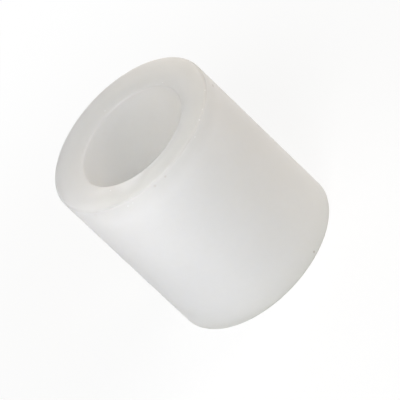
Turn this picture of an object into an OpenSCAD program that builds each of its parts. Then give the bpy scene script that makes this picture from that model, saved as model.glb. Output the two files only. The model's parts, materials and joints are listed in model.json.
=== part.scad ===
// Round spacer
// A plain tube that slips over a screw and holds two parts a set distance apart.
// It is one piece with flat, square ends and a straight bore. Small rounds break
// the two outer rims. At each mouth of the bore the end face falls away in a soft
// lip, which leads the screw in. It stands on one end at z = 0, with its axis
// along +Z.

/* [Body] */

// Outside diameter of the tube
outer_d = 13; // [10:0.5:40]

// Length from one end face to the other
length = 14; // [2:0.5:60]

/* [Bore] */

// Diameter of the screw that passes through
screw_d = 8; // [3:0.5:11]

// Amount by which the bore is wider than the screw
screw_clearance = 0.4; // [0.1:0.05:1]

/* [Edges] */

// Radius of the round on each outer rim
rim_round = 0.2; // [0.05:0.05:1]

// Radius of the soft lip round each mouth of the bore
lip_round = 2; // [0.5:0.1:4]

// Depth by which the lip has fallen where it meets the bore
lip_depth = 0.3; // [0.05:0.05:0.5]

/* [Hidden] */

outer_r = outer_d / 2;
bore_r = (screw_d + screw_clearance) / 2;
wall = outer_r - bore_r;
mid_height = length / 2;

// Share of the end face that a lip may take up, so that a flat ring is left
lip_share = 0.8;
widest_lip = lip_share * (wall - rim_round);

// Radius of the lip, less on a wall too thin for it, and the width that it spans
lip_r = min(lip_round, (widest_lip ^ 2 + lip_depth ^ 2) / (2 * lip_depth));
lip_w = sqrt(2 * lip_r * lip_depth - lip_depth ^ 2);

// Off-white of natural nylon
nylon_color = [0.90, 0.89, 0.86];

// Smoothness of the tube, and of the small rounds on its edges
$fa = 3;
$fs = 0.2;
round_facets = 32;

// What a round of radius r takes off a square corner. The round is centred on
// the origin and the corner is at [r, r]. The waste reaches past the corner, so
// that it cuts both edges clean.
module corner_waste(r) {
    difference() {
        square(2 * r);
        circle(r = r, $fn = round_facets);
    }
}

// The tube's wall cut through lengthwise, on the right of the axis. The lip is the
// upper part of a larger round, which the bore cuts short. The cuts at the top end
// are mirrored about mid height for the bottom end.
module wall_section() {
    difference() {
        translate([bore_r, 0])
            square([wall, length]);
        translate([0, mid_height])
            for (flip = [0, 1])
                mirror([0, flip]) {
                    translate([outer_r - rim_round, mid_height - rim_round])
                        corner_waste(rim_round);
                    translate([bore_r + lip_w, mid_height - lip_r])
                        mirror([1, 0])
                            corner_waste(lip_r);
                }
    }
}

// The whole spacer, its wall section turned once round the axis
module spacer() {
    color(nylon_color)
        rotate_extrude()
            wall_section();
}

spacer();
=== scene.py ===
# %% [markdown]
# # A round spacer of natural nylon
#
# A round spacer is a short tube that slips over a screw and holds two parts a set distance apart.
# This one is natural nylon, an undyed plastic that lets light in and scatters it, so the tube looks
# more like wax than like paint. The lesson dresses a imported CAD model of the spacer, in metres and
# in the CAD model's own frame.
#
# The imported model is loaded first. Its box is kept.

# %% Load the imported model
import json
import math

import bmesh
import bpy
from mathutils import Matrix, Vector
from mathutils.kdtree import KDTree


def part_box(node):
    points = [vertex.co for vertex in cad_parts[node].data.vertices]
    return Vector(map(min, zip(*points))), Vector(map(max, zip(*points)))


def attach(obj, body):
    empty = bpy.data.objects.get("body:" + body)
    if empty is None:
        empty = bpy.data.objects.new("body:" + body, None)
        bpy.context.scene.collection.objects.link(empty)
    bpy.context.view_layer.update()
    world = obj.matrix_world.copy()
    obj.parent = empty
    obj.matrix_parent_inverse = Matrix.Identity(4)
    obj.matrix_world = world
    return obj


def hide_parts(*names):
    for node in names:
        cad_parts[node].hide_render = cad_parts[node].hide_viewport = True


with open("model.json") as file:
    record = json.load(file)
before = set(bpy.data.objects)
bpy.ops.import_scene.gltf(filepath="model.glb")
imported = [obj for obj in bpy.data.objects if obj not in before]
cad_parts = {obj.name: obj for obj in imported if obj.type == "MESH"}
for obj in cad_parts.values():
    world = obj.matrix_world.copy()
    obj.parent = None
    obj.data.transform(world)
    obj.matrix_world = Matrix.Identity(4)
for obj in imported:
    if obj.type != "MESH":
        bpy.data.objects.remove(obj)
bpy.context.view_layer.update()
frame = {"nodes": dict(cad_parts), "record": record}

# %% [markdown]
# ## Measure the tube
#
# The sizes could be typed in again from a drawing, but then they could drift away from the CAD
# model. Here they are read from it. The points of the CAD mesh give the height, the outside radius
# and the two edges of the flat end face. The face falls short of the outside by the round on the
# rim, and of the bore by the soft lip that leads a screw in. The record of the bore gives its
# radius and the length of its straight wall. What is missing from that length is the depth of the
# lip at each end. Width and depth together give the radius of the lip's arc.

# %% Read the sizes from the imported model
MM = 0.001
TOUCH = 0.001 * MM

tube_low, tube_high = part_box("spacer")
height = tube_high.z - tube_low.z

cad_points = [vertex.co for vertex in frame["nodes"]["spacer"].data.vertices]
outer_radius = max(point.xy.length for point in cad_points)
end_face = [point.xy.length for point in cad_points if tube_high.z - point.z < TOUCH]
rim_round = outer_radius - max(end_face)

bore = next(mount for mount in frame["record"]["mounts"] if mount["name"] == "bore")
bore_radius = bore["dims"]["r_mm"] * MM
lip_width = min(end_face) - bore_radius
lip_depth = (height - bore["dims"]["length_mm"] * MM) / 2
lip_round = (lip_width ** 2 + lip_depth ** 2) / (2 * lip_depth)

for label, size in (("height", height), ("outer radius", outer_radius), ("rim round", rim_round),
                    ("bore radius", bore_radius), ("lip width", lip_width), ("lip depth", lip_depth),
                    ("lip round", lip_round)):
    print(f"{label}: {size / MM:.3f} mm")

# %% [markdown]
# ## Draw the wall's section
#
# The whole tube is one shape turned round the axis: its wall, cut through lengthwise. A plain
# cylinder with a hole would show faceted, knife-sharp edges, and a bevel modifier would have to
# guess the rounds. Drawing the section point by point gives true arcs. Going round from the foot,
# they are a rim, the other rim, the lip of the bore and the edge where lip and bore meet, and then
# the same edge and lip at the foot. That edge is nearly sharp. Its tiny round is part of a circle
# that touches both the lip's arc and the bore's wall, so it runs on smoothly into each. Between the
# arcs run straight lines, with points that crowd towards the corners: there they keep the flats
# flat under smooth shading, and the small nicks of the rim have points to be made from.

# %% Draw the arcs and the straight runs between them
EDGE_ROUND = 0.15 * MM
RIM_STEPS = 8
LIP_STEPS = 12
EDGE_STEPS = 5
OUTER_WALL_STEPS = 56
BORE_WALL_STEPS = 28
END_FACE_STEPS = 10


def arc(centre_radius, centre_height, radius, first_degrees, last_degrees, steps):
    """Points along an arc of the section, as (distance from the axis, height)."""
    points = []
    for step in range(steps + 1):
        angle = math.radians(first_degrees + (last_degrees - first_degrees) * step / steps)
        away = centre_radius + radius * math.cos(angle)
        up = centre_height + radius * math.sin(angle)
        points.append(Vector((away, up)))
    return points


def straight_run(start, end, steps):
    """Points from the start to just before the end, closer together towards both."""
    shares = [(1 - math.cos(math.pi * step / steps)) / 2 for step in range(steps)]
    return [start.lerp(end, share) for share in shares]


rim_centre = outer_radius - rim_round
lip_centre = bore_radius + lip_width
edge_centre = bore_radius + EDGE_ROUND
edge_slope = math.asin((lip_width - EDGE_ROUND) / (lip_round - EDGE_ROUND))
edge_height = height - lip_round + (lip_round - EDGE_ROUND) * math.cos(edge_slope)
lip_end = 90 + math.degrees(edge_slope)

arcs = [
    arc(rim_centre, rim_round, rim_round, -90, 0, RIM_STEPS),
    arc(rim_centre, height - rim_round, rim_round, 0, 90, RIM_STEPS),
    arc(lip_centre, height - lip_round, lip_round, 90, lip_end, LIP_STEPS),
    arc(edge_centre, edge_height, EDGE_ROUND, lip_end, 180, EDGE_STEPS),
    arc(edge_centre, height - edge_height, EDGE_ROUND, 180, 360 - lip_end, EDGE_STEPS),
    arc(lip_centre, lip_round, lip_round, 360 - lip_end, 270, LIP_STEPS),
]
# An arc that runs straight on into the next has no line after it
run_steps = [OUTER_WALL_STEPS, END_FACE_STEPS, 0, BORE_WALL_STEPS, 0, END_FACE_STEPS]

section = []
for this_arc, next_arc, steps in zip(arcs, arcs[1:] + arcs[:1], run_steps):
    section += this_arc[:-1]
    section += straight_run(this_arc[-1], next_arc[0], steps)
print("section points:", len(section))
print(f"slope of the lip at its edge: {math.degrees(edge_slope):.1f} degrees")

# %% [markdown]
# ## Turn the section round the axis
#
# On a lathe the bar turns and the tool stays still. Blender's Screw modifier does the same to a
# profile when its pitch is zero: it sweeps the section once round the axis and merges the last
# segment with the first. bmesh's spin would give the same tube, but takes far longer with this many
# segments. The segments are short enough that the outline stays round in a close-up.

# %% Sweep the section into a tube
SEGMENTS = 600

section_mesh = bpy.data.meshes.new("wall_section")
section_mesh.from_pydata([(point.x, 0, tube_low.z + point.y) for point in section],
                         [(here, (here + 1) % len(section)) for here in range(len(section))], [])
lathe = bpy.data.objects.new("wall_section", section_mesh)
bpy.context.scene.collection.objects.link(lathe)
turning = lathe.modifiers.new("turning", "SCREW")
turning.axis = "Z"
turning.angle = 2 * math.pi
turning.screw_offset = 0
turning.steps = SEGMENTS
turning.render_steps = SEGMENTS
turning.use_merge_vertices = True
turning.merge_threshold = TOUCH

tube = bmesh.new()
tube.from_object(lathe, bpy.context.evaluated_depsgraph_get())
bpy.data.objects.remove(lathe)
bmesh.ops.recalc_face_normals(tube, faces=tube.faces)
open_edges = [edge for edge in tube.edges if not edge.is_manifold]
print("turned faces:", len(tube.faces), "open edges:", len(open_edges))

# %% [markdown]
# ## Nick the rim and press in the dirt
#
# The spacer has been handled. Near its upper rim sit two faint grains of dirt, with a darker one at
# the foot, and there is a scuff below the rim. On the left the end face and the wall each carry a
# faint smudge. Nearer the front a wide pale patch on the lip is painted glow, standing for light that
# comes through the wall. Small burrs mark where the cutting tool left the plastic. Their white colour
# is partly painted glints, and the two at the front of the lip help paint its highlight. Each mark is
# a place on the tube with a width and a depth. A mark with a depth presses the wall in, one with a
# depth below zero raises a burr, and smudges and the painted glow only have colour. The same lists
# colour the marks later, so shape and colour stay together.

# %% List the marks and shape them
# Bearing round the axis in degrees from +X, distance from the axis, height, width and depth in mm
RIM_GRAINS = [
    (-93.7, 6.50, 13.62, 0.26, 0.012),
    (-102.0, 6.50, 13.62, 0.28, 0.010),
]
FOOT_GRAINS = [
    (-64.3, 6.50, 0.38, 0.26, 0.016),
]
SCUFFS = [
    (-17.0, 6.50, 12.94, 0.36, 0.010),
    (-15.2, 6.50, 12.88, 0.26, 0.008),
]
SMUDGES = [
    (-148.6, 6.50, 13.60, 0.50, 0.0),
    (-158.5, 5.14, 14.00, 0.50, 0.0),
]
# Painted glow: a wide pale patch on the front of the lip, standing for light that comes through the wall
PAINTED_LIP_GLOW = [
    (-119.0, 4.45, 13.85, 3.20, 0.0),
]
# Burrs raise the rim and the lip; their white colour is partly painted glints, and the two at the front of
# the lip help paint its highlight
BURRS_AND_GLINTS = [
    (-63.9, 6.48, 13.67, 0.16, -0.012),
    (-52.9, 6.44, 13.90, 0.16, -0.015),
    (-45.0, 6.43, 13.92, 0.12, -0.010),
    (-29.2, 6.42, 13.92, 0.15, -0.012),
    (-123.4, 6.50, 13.49, 0.16, -0.010),
    (-119.5, 6.50, 13.53, 0.12, -0.008),
    (-138.4, 4.87, 13.96, 0.18, -0.008),
    (-122.3, 4.61, 13.89, 0.16, -0.010),
    (90.3, 4.50, 13.85, 0.14, -0.010),
    (22.8, 4.41, 13.81, 0.12, -0.006),
]


def on_tube(bearing, away, up):
    """The point at a bearing in degrees, a distance from the axis and a height, both in mm."""
    angle = math.radians(bearing)
    return Vector((away * math.cos(angle) * MM, away * math.sin(angle) * MM, tube_low.z + up * MM))


tube.verts.ensure_lookup_table()
tube.normal_update()
finder = KDTree(len(tube.verts))
for vertex in tube.verts:
    finder.insert(vertex.co, vertex.index)
finder.balance()

moved = 0
for bearing, away, up, width, depth in RIM_GRAINS + FOOT_GRAINS + SCUFFS + BURRS_AND_GLINTS:
    reach = width * MM / 2
    for _, index, distance in finder.find_range(on_tube(bearing, away, up), reach):
        swell = (1 - (distance / reach) ** 2) ** 2
        tube.verts[index].co -= tube.verts[index].normal * depth * MM * swell
        moved += 1
print("points moved by the marks:", moved)

# %% [markdown]
# ## Make it an object
#
# The finished shape becomes the piece that stands for the CAD tube. It rides on the model's only
# body and hides the CAD node.

# %% Turn the shape into the spacer and tie it to the model
spacer_mesh = bpy.data.meshes.new("nylon_spacer")
tube.to_mesh(spacer_mesh)
tube.free()
for face in spacer_mesh.polygons:
    face.use_smooth = True

spacer = bpy.data.objects.new("nylon_spacer", spacer_mesh)
bpy.context.scene.collection.objects.link(spacer)
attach(spacer, "root")
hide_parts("spacer")
print("spacer triangles:", sum(len(face.vertices) - 2 for face in spacer_mesh.polygons))

# %% [markdown]
# ## Two helpers for materials
#
# Colours are written as the hex values a picture editor shows. Blender mixes light in linear
# numbers, so one function converts them. Node trees are long to write by hand, so a second function
# adds one node, fills in its settings and links its inputs in a single call.

# %% Helpers for colours and nodes


def linear(hex_colour):
    """An sRGB hex colour such as "#EDEBE4" as linear red, green, blue and alpha."""
    channels = [int(hex_colour[start:start + 2], 16) / 255 for start in (1, 3, 5)]
    return [
        value / 12.92 if value <= 0.04045 else ((value + 0.055) / 1.055) ** 2.4
        for value in channels
    ] + [1.0]


def add_node(tree, kind, settings=None, links=None):
    """Adds a node. Settings name options or inputs, and links name the output that feeds an input."""
    node = tree.nodes.new(kind)
    for name, value in (settings or {}).items():
        if isinstance(name, str) and hasattr(node, name):
            setattr(node, name, value)
        else:
            node.inputs[name].default_value = value
    for name, output in (links or {}).items():
        tree.links.new(output, node.inputs[name])
    return node


print("mid grey #808080 in linear light:", round(linear("#808080")[0], 3))

# %% [markdown]
# ## Natural nylon, turned: the colour
#
# Undyed nylon is a milky off-white with a breath of yellow. It cooled from a melt, so some places
# are a little milkier than others: soft clouds a few millimetres wide, with a finer mottle inside
# them. Object coordinates are turned into millimetres, so each pattern's scale is simply one over
# its real size.

# %% Start the nylon and cloud its colour
CLOUD_MM = 3.5
MOTTLE_MM = 0.4
MOTTLE_SHARE = 0.10

nylon = bpy.data.materials.new("natural_nylon_turned")
nylon.use_nodes = True
nylon_tree = nylon.node_tree
nylon_tree.nodes.clear()

place = add_node(nylon_tree, "ShaderNodeTexCoord")
place_mm = add_node(nylon_tree, "ShaderNodeVectorMath", {"operation": "SCALE", "Scale": 1 / MM},
                    {0: place.outputs["Object"]}).outputs["Vector"]

clouds = add_node(nylon_tree, "ShaderNodeTexNoise", {"Scale": 1 / CLOUD_MM, "Detail": 2.0},
                  {"Vector": place_mm})
mottle = add_node(nylon_tree, "ShaderNodeTexNoise", {"Scale": 1 / MOTTLE_MM, "Detail": 3.0},
                  {"Vector": place_mm})
clouded = add_node(nylon_tree, "ShaderNodeMix",
                   {"data_type": "RGBA", 6: linear("#F2F1ED"), 7: linear("#F6F5F2")},
                   {0: clouds.outputs["Fac"]}).outputs[2]
mottled = add_node(nylon_tree, "ShaderNodeMix",
                   {"data_type": "RGBA", "blend_type": "SOFT_LIGHT", 0: MOTTLE_SHARE},
                   {6: clouded, 7: mottle.outputs["Fac"]}).outputs[2]
print("nylon clouds:", CLOUD_MM, "mm, mottle:", MOTTLE_MM, "mm")

# %% [markdown]
# ## Natural nylon, turned: painted shade on the ends
#
# The two ends and their rims carry painted shade: their colour is a shade darker than the turned
# wall. The object's own normal tells an end from the wall. The lip of the bore was smoothed, and the
# painted shade fades out across it, so the lip grows a little paler towards the hole. The distance
# from the axis tells the lip from the flat. One side of the ends is painted darker, and the other
# side gets only half of the painted shade. How far a place lies towards the shaded side tells the
# two sides apart.

# %% Paint shade on the ends
# Painted shade on the end faces, heavier on one side
WALL_UPRIGHT = 0.02
END_UPRIGHT = 0.45
SHADED_SIDE_BEARING = math.radians(-30)
SHADED_SIDE_WAY = (math.cos(SHADED_SIDE_BEARING), math.sin(SHADED_SIDE_BEARING), 0)
LIGHTER_SIDE_TO_MM = -5.5
SHADED_SIDE_FROM_MM = -1.0
LIGHTER_SIDE_SHADE = 0.5

facing = add_node(nylon_tree, "ShaderNodeSeparateXYZ", links={"Vector": place.outputs["Normal"]})
upright = add_node(nylon_tree, "ShaderNodeMath", {"operation": "ABSOLUTE"}, {0: facing.outputs["Z"]})
faces_end = add_node(nylon_tree, "ShaderNodeMapRange",
                     {"interpolation_type": "SMOOTHSTEP",
                      "From Min": WALL_UPRIGHT, "From Max": END_UPRIGHT},
                     {"Value": upright.outputs[0]})
flat_place = add_node(nylon_tree, "ShaderNodeVectorMath", {"operation": "MULTIPLY", 1: (1, 1, 0)},
                      {0: place_mm})
from_axis = add_node(nylon_tree, "ShaderNodeVectorMath", {"operation": "LENGTH"},
                     {0: flat_place.outputs["Vector"]}).outputs["Value"]
# The painted shade fades out across the lip, so the lip is paler towards the hole
past_lip = add_node(nylon_tree, "ShaderNodeMapRange",
                    {"interpolation_type": "SMOOTHSTEP", "From Min": (bore_radius - lip_width) / MM,
                     "From Max": (bore_radius + lip_width) / MM},
                    {"Value": from_axis})
towards_shaded_side = add_node(nylon_tree, "ShaderNodeVectorMath", {"operation": "DOT_PRODUCT", 1: SHADED_SIDE_WAY},
                        {0: place_mm})
shaded_side = add_node(nylon_tree, "ShaderNodeMapRange",
                   {"interpolation_type": "SMOOTHSTEP",
                    "From Min": LIGHTER_SIDE_TO_MM, "From Max": SHADED_SIDE_FROM_MM},
                   {"Value": towards_shaded_side.outputs["Value"]}).outputs["Result"]
shade_share = add_node(nylon_tree, "ShaderNodeMapRange", {"To Min": LIGHTER_SIDE_SHADE}, {"Value": shaded_side})
shaded_end = add_node(nylon_tree, "ShaderNodeMath", {"operation": "MULTIPLY"},
                      {0: faces_end.outputs["Result"], 1: past_lip.outputs["Result"]})
end_shade_mask = add_node(nylon_tree, "ShaderNodeMath", {"operation": "MULTIPLY"},
                      {0: shaded_end.outputs[0], 1: shade_share.outputs["Result"]})
# Painted shade: the end faces are multiplied darker, more on the shaded side
end_shaded_white = add_node(nylon_tree, "ShaderNodeMix",
                        {"data_type": "RGBA", "blend_type": "MULTIPLY", 7: linear("#EDEDEC")},
                        {0: end_shade_mask.outputs[0], 6: mottled}).outputs[2]
print("dullness of the ends:", LIGHTER_SIDE_SHADE, "to 1.0")

# %% [markdown]
# ## Natural nylon, turned: painted shade on the rim
#
# On the shaded side, the upper rim carries a thin grey film of painted shade. It is strongest on the
# rim itself and fades out over nearly two millimetres on the face and on the wall. Cut through
# lengthwise, the rim is a single point at some distance from the axis and some height, and how far a
# place lies from that point is the mask. The lighter side has no painted shade on the rim.

# %% Paint shade on the upper rim
RIM_SHADE_REACH_MM = 1.8

split = add_node(nylon_tree, "ShaderNodeSeparateXYZ", links={"Vector": place_mm})
in_section = add_node(nylon_tree, "ShaderNodeCombineXYZ", links={"X": from_axis, "Y": split.outputs["Z"]})
to_rim = add_node(nylon_tree, "ShaderNodeVectorMath",
                  {"operation": "DISTANCE", 1: (outer_radius / MM, tube_high.z / MM, 0)},
                  {0: in_section.outputs["Vector"]})
near_rim = add_node(nylon_tree, "ShaderNodeMapRange",
                    {"interpolation_type": "SMOOTHSTEP", "From Min": RIM_SHADE_REACH_MM, "From Max": 0.0},
                    {"Value": to_rim.outputs["Value"]})
# Painted shade: a grey film darkens the upper rim on the shaded side
painted_shade = add_node(nylon_tree, "ShaderNodeMath", {"operation": "MULTIPLY"},
                {0: near_rim.outputs["Result"], 1: shaded_side})
rim_shaded_white = add_node(nylon_tree, "ShaderNodeMix",
                        {"data_type": "RGBA", "blend_type": "MULTIPLY", 7: linear("#EEEEED")},
                        {0: painted_shade.outputs[0], 6: end_shaded_white}).outputs[2]
print("rim film reaches:", RIM_SHADE_REACH_MM, "mm")

# %% [markdown]
# ## Natural nylon, turned: the marks
#
# The marks are spots of colour at the places already listed. A mask for one spot is the distance to
# its centre, turned into 1 inside and 0 outside with a soft edge. The masks of one kind are joined
# by keeping the larger value, and that mask mixes in the colour: brown-grey dirt, grey scuffs and
# smudges, white burrs that are partly torn plastic and partly painted glints, and a nearly white patch
# of painted glow on the lip.

# %% Colour the marks
def spots(marks, softness):
    """A mask that is 1 on the marks, with an edge that fades over that share of their half width."""
    mask = None
    for bearing, away, up, width, _ in marks:
        distance = add_node(nylon_tree, "ShaderNodeVectorMath",
                            {"operation": "DISTANCE", 1: on_tube(bearing, away, up) / MM}, {0: place_mm})
        spot = add_node(nylon_tree, "ShaderNodeMapRange",
                        {"interpolation_type": "SMOOTHSTEP", "From Min": width / 2,
                         "From Max": width / 2 * (1 - softness)},
                        {"Value": distance.outputs["Value"]}).outputs["Result"]
        if mask is not None:
            spot = add_node(nylon_tree, "ShaderNodeMath", {"operation": "MAXIMUM"},
                            {0: mask, 1: spot}).outputs[0]
        mask = spot
    return mask


# Marks of one kind, the softness of their edges and their colour
MARK_LOOKS = [
    # Painted glow on the front of the lip
    (PAINTED_LIP_GLOW, 1.0, "#FDFCFB"),
    (SMUDGES, 1.0, "#E9E7E3"),
    (SCUFFS, 1.0, "#D6D2CA"),
    # White burrs: torn plastic, partly painted glints
    (BURRS_AND_GLINTS, 0.9, "#FFFFFF"),
    (RIM_GRAINS, 0.8, "#DBD7D0"),
    (FOOT_GRAINS, 0.8, "#D5CFC6"),
]
nylon_colour = rim_shaded_white
for marks, softness, colour in MARK_LOOKS:
    nylon_colour = add_node(nylon_tree, "ShaderNodeMix", {"data_type": "RGBA", 7: linear(colour)},
                            {0: spots(marks, softness), 6: nylon_colour}).outputs[2]
print("nylon nodes so far:", len(nylon_tree.nodes))

# %% [markdown]
# ## Natural nylon, turned: the surface
#
# The lathe tool leaves rings: circles on the end faces and hoops along the wall. Distance from the
# axis plus height grows along both, so a noise of that one number draws both kinds at once. The
# rings are really a few hundredths of a millimetre apart, too fine to show, so they are drawn about
# five times coarser. A fine grain makes the surface satin rather than glossy.

# %% Raise the turning rings and the satin grain
RING_MM = 0.25
RING_DEPTH_MM = 0.003
GRAIN_MM = 0.15
GRAIN_DEPTH_MM = 0.002
SMOOTHEST = 0.40
ROUGHEST = 0.54

along_section = add_node(nylon_tree, "ShaderNodeMath", {"operation": "ADD"},
                         {0: from_axis, 1: split.outputs["Z"]})
rings = add_node(nylon_tree, "ShaderNodeTexNoise",
                 {"noise_dimensions": "1D", "Scale": 1 / RING_MM, "Detail": 2.0},
                 {"W": along_section.outputs[0]})
grain = add_node(nylon_tree, "ShaderNodeTexNoise", {"Scale": 1 / GRAIN_MM, "Detail": 2.0},
                 {"Vector": place_mm})

ring_bump = add_node(nylon_tree, "ShaderNodeBump", {"Distance": RING_DEPTH_MM * MM},
                     {"Height": rings.outputs["Fac"]})
surface = add_node(nylon_tree, "ShaderNodeBump", {"Distance": GRAIN_DEPTH_MM * MM},
                   {"Height": grain.outputs["Fac"], "Normal": ring_bump.outputs["Normal"]})
satin = add_node(nylon_tree, "ShaderNodeMapRange", {"To Min": SMOOTHEST, "To Max": ROUGHEST},
                 {"Value": mottle.outputs["Fac"]})
print("rings:", RING_MM, "mm apart, grain:", GRAIN_MM, "mm")

# %% [markdown]
# ## Natural nylon, turned: the shader
#
# What gives nylon away is that light goes in. It wanders for millimetres before it comes out, which
# softens every edge, fills the bore with light and lets the wall glow. Painted shading could only
# imitate that from one side, so the shader's random-walk subsurface does it. Blue light is lost
# sooner than red, so what has come a long way is a little warm. The surface itself is bare plastic
# with the index of nylon, 1.53.

# %% Assemble the nylon shader
SCATTER_MM = 10.0
SCATTER_BY_COLOUR = (1.0, 0.97, 0.9)
NYLON_IOR = 1.53

nylon_shader = add_node(nylon_tree, "ShaderNodeBsdfPrincipled",
                        {"IOR": NYLON_IOR, "Subsurface Weight": 1.0, "Subsurface Radius": SCATTER_BY_COLOUR,
                         "Subsurface Scale": SCATTER_MM * MM, "subsurface_method": "RANDOM_WALK"},
                        {"Base Color": nylon_colour, "Roughness": satin.outputs["Result"],
                         "Normal": surface.outputs["Normal"]})
add_node(nylon_tree, "ShaderNodeOutputMaterial", links={"Surface": nylon_shader.outputs["BSDF"]})
spacer_mesh.materials.append(nylon)
print("material:", nylon.name, "with", len(nylon_tree.nodes), "nodes")

# %% [markdown]
# ## The camera
#
# The photograph looks down at the spacer from about 33 degrees, through a long lens, with the
# picture turned so that the tube leans to the left. A cylinder fitted to the outline gives the
# angles, the distance and the place and size of the tube in the picture. The camera is first set
# level, then rolled about its own line of sight, and then moved sideways until the tube's centre
# falls on the right pixel.

# %% Set up the camera
PICTURE_SIDE_PX = 400
TUBE_CENTRE_PX = (192.4, 193.5)
TUBE_RADIUS_PX = 95.3
LOOKING_DOWN = math.radians(32.65)
LEAN_LEFT = math.radians(46.46)
CAMERA_DISTANCE = 0.441
SENSOR_MM = 36.0
CLIP_START = 0.01

level = Matrix.Rotation(math.pi / 2 - LOOKING_DOWN, 3, "X")
rolled = level @ Matrix.Rotation(-LEAN_LEFT, 3, "Z")
metres_per_px = outer_radius / TUBE_RADIUS_PX
half_side = PICTURE_SIDE_PX / 2
aside = Vector(((half_side - TUBE_CENTRE_PX[0]) * metres_per_px,
                (TUBE_CENTRE_PX[1] - half_side) * metres_per_px,
                CAMERA_DISTANCE))
tube_centre = Vector((0, 0, tube_low.z + height / 2))

lens = bpy.data.cameras.new("photo_camera")
lens.sensor_width = SENSOR_MM
lens.lens = SENSOR_MM * (CAMERA_DISTANCE / metres_per_px) / PICTURE_SIDE_PX
lens.clip_start = CLIP_START
camera = bpy.data.objects.new("photo_camera", lens)
camera.matrix_world = Matrix.Translation(tube_centre + rolled @ aside) @ rolled.to_4x4()
bpy.context.scene.collection.objects.link(camera)
bpy.context.scene.camera = camera
bpy.context.scene.view_settings.view_transform = "Standard"
print(f"lens: {lens.lens:.0f} mm, camera height: {camera.location.z:.3f} m")

# %% [markdown]
# ## The floor
#
# Small translucent parts are often photographed on an opal acrylic sheet with a little light under
# it, because light from below keeps them from going grey at the foot. The floor is such a sheet,
# and it glows faintly. What the camera, reflections and see-through rays find there is mostly plain
# white. Close to the spacer it is mixed with enough of the real sheet to keep the shadow, and a few
# centimetres away it fades to the white of the room.

# %% Lay the opal sheet
SHEET_HALF = 0.6
SHEET_GLOW = 0.22
SHEET_ROUGHNESS = 0.9
ACRYLIC_IOR = 1.49
WHITE_AT_TUBE = 0.85
SHADOW_REACH = 0.012
SHADOW_END = 0.045

sheet_mesh = bpy.data.meshes.new("opal_sheet")
corners = [(-SHEET_HALF, -SHEET_HALF), (SHEET_HALF, -SHEET_HALF),
           (SHEET_HALF, SHEET_HALF), (-SHEET_HALF, SHEET_HALF)]
sheet_mesh.from_pydata([(x, y, tube_low.z) for x, y in corners], [], [(0, 1, 2, 3)])
sheet = bpy.data.objects.new("opal_sheet", sheet_mesh)
bpy.context.scene.collection.objects.link(sheet)

opal = bpy.data.materials.new("opal_acrylic_sheet")
opal.use_nodes = True
opal_tree = opal.node_tree
opal_tree.nodes.clear()


def seen_directly(tree):
    """1 for camera, glossy and transmission rays, and 0 for the rays that carry light to the object."""
    ray = add_node(tree, "ShaderNodeLightPath")
    either = add_node(tree, "ShaderNodeMath", {"operation": "MAXIMUM"},
                      {0: ray.outputs["Is Camera Ray"], 1: ray.outputs["Is Glossy Ray"]})
    return add_node(tree, "ShaderNodeMath", {"operation": "MAXIMUM"},
                    {0: either.outputs[0], 1: ray.outputs["Is Transmission Ray"]}).outputs[0]


sheet_shader = add_node(opal_tree, "ShaderNodeBsdfPrincipled",
                        {"Base Color": linear("#F3F3F3"), "Roughness": SHEET_ROUGHNESS, "IOR": ACRYLIC_IOR,
                         "Emission Color": linear("#FFFEF6"), "Emission Strength": SHEET_GLOW})
white = add_node(opal_tree, "ShaderNodeEmission", {"Color": linear("#FFFFFF"), "Strength": 1.0})
sheet_place = add_node(opal_tree, "ShaderNodeTexCoord")
from_tube = add_node(opal_tree, "ShaderNodeVectorMath", {"operation": "LENGTH"},
                     {0: sheet_place.outputs["Object"]})
fade = add_node(opal_tree, "ShaderNodeMapRange",
                {"interpolation_type": "SMOOTHSTEP", "From Min": SHADOW_REACH, "From Max": SHADOW_END,
                 "To Min": WHITE_AT_TUBE, "To Max": 1.0},
                {"Value": from_tube.outputs["Value"]})
whiteness = add_node(opal_tree, "ShaderNodeMath", {"operation": "MULTIPLY"},
                     {0: fade.outputs["Result"], 1: seen_directly(opal_tree)})
sheet_look = add_node(opal_tree, "ShaderNodeMixShader",
                      links={0: whiteness.outputs[0], 1: sheet_shader.outputs["BSDF"],
                             2: white.outputs["Emission"]})
add_node(opal_tree, "ShaderNodeOutputMaterial", links={"Surface": sheet_look.outputs["Shader"]})
sheet_mesh.materials.append(opal)
print("sheet:", 2 * SHEET_HALF, "m wide, glow", SHEET_GLOW)

# %% [markdown]
# ## The room's light
#
# A white room gives the spacer an even light from everywhere above the sheet. Where the camera sees
# past the sheet, the world is plain white.

# %% Light the room
ROOM_LIGHT = 0.05

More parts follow.
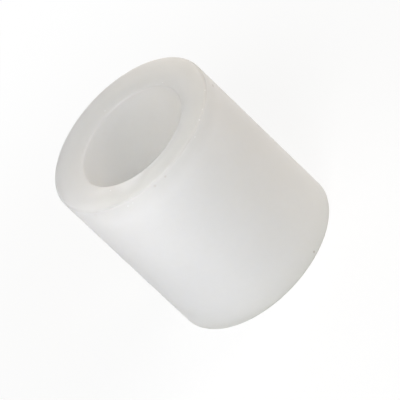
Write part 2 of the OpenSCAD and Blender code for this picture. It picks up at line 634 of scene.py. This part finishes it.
room = bpy.data.worlds.new("white_room")
room.use_nodes = True
room_tree = room.node_tree
room_tree.nodes.clear()
ambient = add_node(room_tree, "ShaderNodeBackground", {"Color": linear("#FFFFFF"), "Strength": ROOM_LIGHT})
backdrop = add_node(room_tree, "ShaderNodeBackground", {"Color": linear("#FFFFFF"), "Strength": 1.0})
room_look = add_node(room_tree, "ShaderNodeMixShader",
                     links={0: seen_directly(room_tree), 1: ambient.outputs[0], 2: backdrop.outputs[0]})
add_node(room_tree, "ShaderNodeOutputWorld", links={"Surface": room_look.outputs["Shader"]})
bpy.context.scene.world = room
print("room light:", ROOM_LIGHT)

# %% [markdown]
# ## The lamps
#
# Four soft round lamps shape the tube. Two small, slightly cool ones hang close, so that their
# light falls off even across a part this small: the key, above the camera and a little to its left,
# reaches down into the bore, and a low one on the left draws the bright band along the wall. A
# wide, slightly warm one on the right keeps that side from going flat and shines through the wall
# into the bore, and a weaker one straight behind does the same for the far wall. Each lamp's power
# is worked out from how bright it makes a white card that faces it at the spacer, so the levels
# compare with each other and add up to a plain exposure.

# %% Hang the lamps


def soft_lamp(name, bearing, climb, distance, width, level, colour):
    """A round lamp aimed at the tube. Bearing 0 is the camera's side, 90 is +X, and climb is from level."""
    turn = math.radians(bearing)
    rise = math.radians(climb)
    outward = Vector((math.sin(turn) * math.cos(rise), -math.cos(turn) * math.cos(rise), math.sin(rise)))
    lamp = bpy.data.lights.new(name, "AREA")
    lamp.shape = "DISK"
    lamp.size = width
    lamp.energy = level * (math.pi * distance) ** 2
    lamp.color = linear(colour)[:3]
    holder = bpy.data.objects.new(name, lamp)
    holder.location = tube_centre + outward * distance
    holder.rotation_euler = (-outward).to_track_quat("-Z", "Y").to_euler()
    holder.visible_camera = False
    bpy.context.scene.collection.objects.link(holder)
    print(f"{name}: level {level}, {lamp.energy:.3f} W")


soft_lamp("key_lamp", bearing=345, climb=49, distance=0.06, width=0.02, level=0.475, colour="#FBFDFF")
soft_lamp("left_lamp", bearing=305, climb=14, distance=0.035, width=0.02, level=0.25, colour="#FAFAFF")
soft_lamp("right_lamp", bearing=91, climb=30, distance=0.25, width=0.16, level=0.425, colour="#FFF4E8")
soft_lamp("back_lamp", bearing=178, climb=9, distance=0.25, width=0.16, level=0.22, colour="#FFFFFF")
